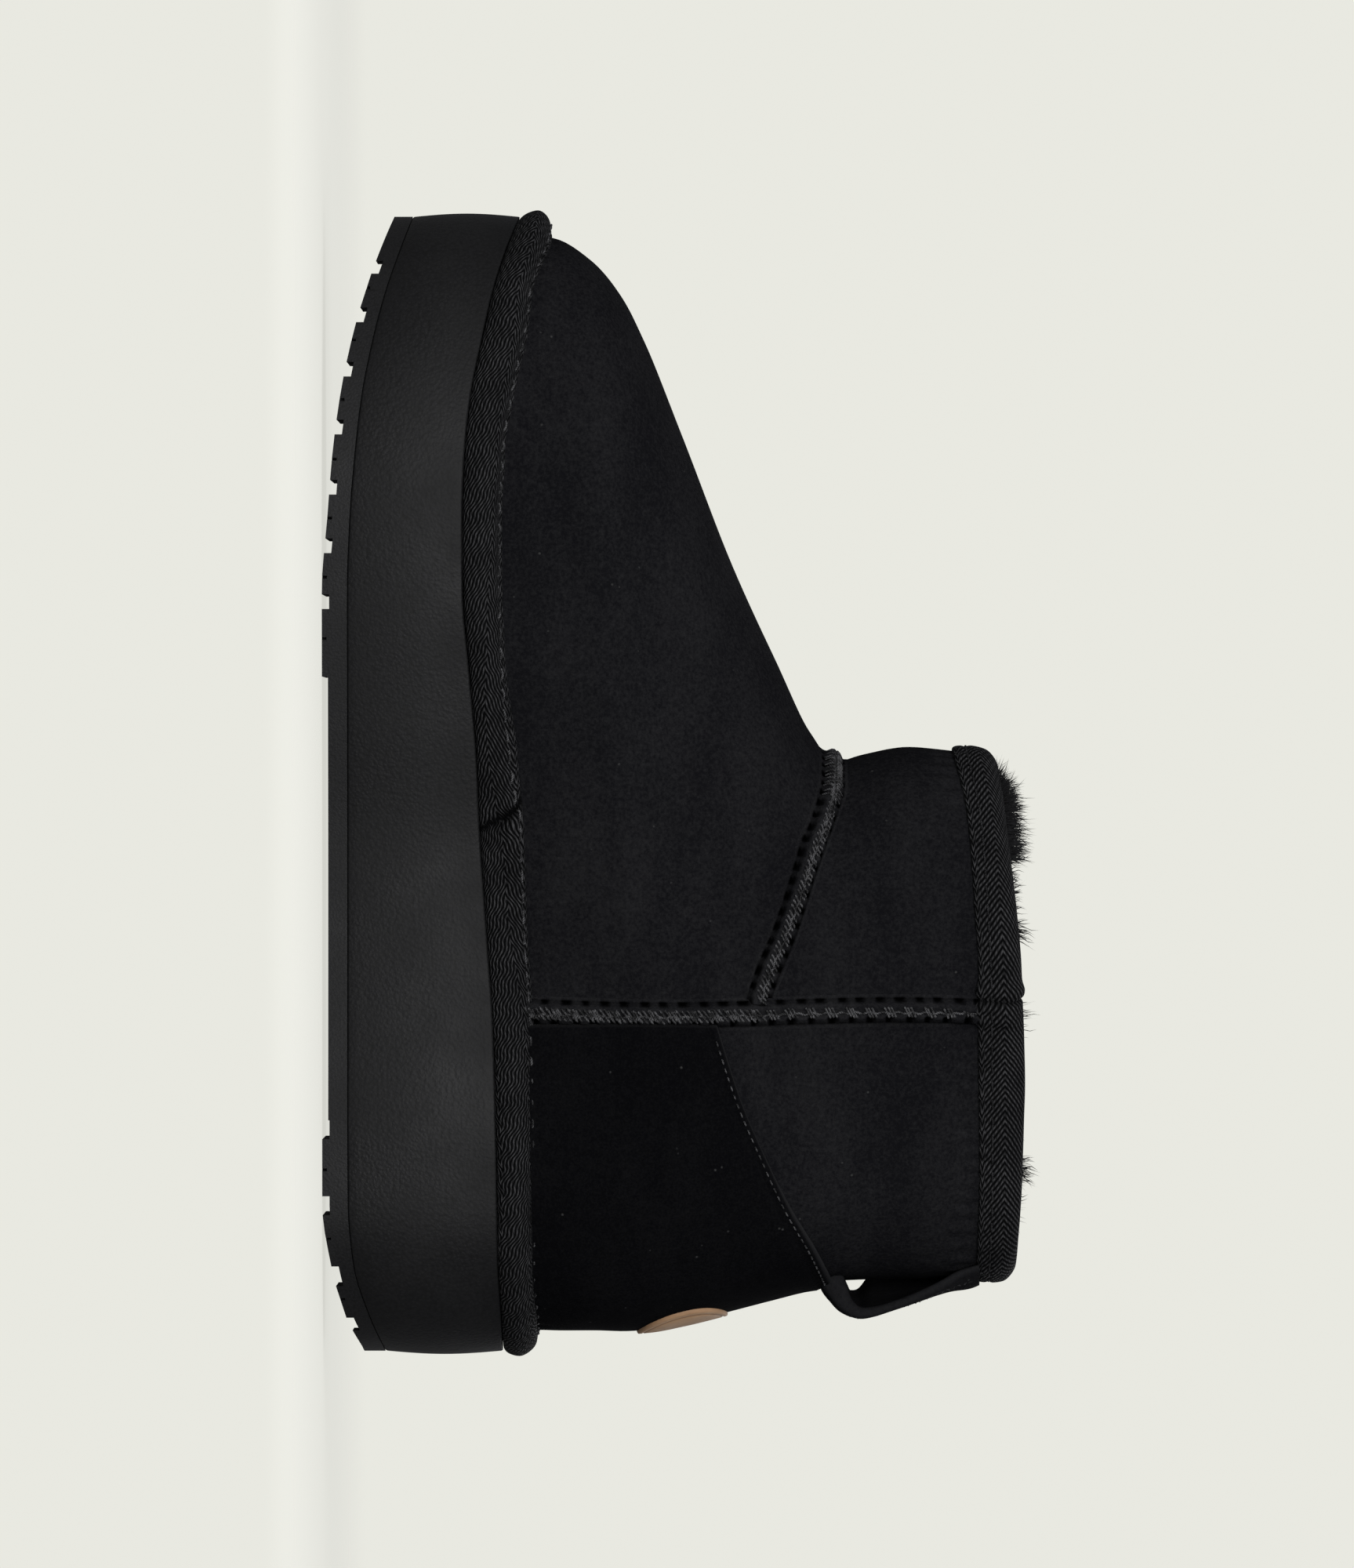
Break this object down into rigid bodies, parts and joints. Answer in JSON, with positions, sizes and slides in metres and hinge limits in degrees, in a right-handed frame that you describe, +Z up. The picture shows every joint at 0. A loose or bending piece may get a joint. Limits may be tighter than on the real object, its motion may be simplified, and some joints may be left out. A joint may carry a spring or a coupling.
{
  "type": "sheepskin ankle boot",
  "caption": "Right ankle boot of black sheepskin, suede outside and fur inside, on a thick lugged platform, with taped collar and welt, raised seams, heel counter and pull loop.",
  "frame": {"origin": "on the floor, under the middle of the boot's box, with the boot standing empty on its sole", "axes": "+X from the heel to the toe, +Y to the wearer's left, which is the inner side of this right boot, +Z up"},
  "size_m": [0.268, 0.1077, 0.1638],
  "materials": {
    "outsole_rubber": "smooth satin edge",
    "midsole_foam": "finely pebbled foam with a soft sheen",
    "herringbone_tape": "herringbone twill tape, stitched along its edge",
    "suede": "napped suede",
    "smooth_suede": "tight, smooth suede",
    "fur": "dense short fur",
    "seam_thread": "overcast twisted thread over raw suede edges",
    "badge": "matte, blank"
  },
  "bodies": {
    "root": {"outsole": "outsole_rubber", "midsole": "midsole_foam", "welt_binding": "herringbone_tape", "upper": "suede", "insole": "fur", "heel_counter": "smooth_suede", "heel_badge": "badge", "side_seam_inner": "seam_thread", "side_seam_outer": "seam_thread", "throat_seam": "seam_thread", "collar_binding": "herringbone_tape", "pull_loop": "smooth_suede"}
  },
  "joints": []
}
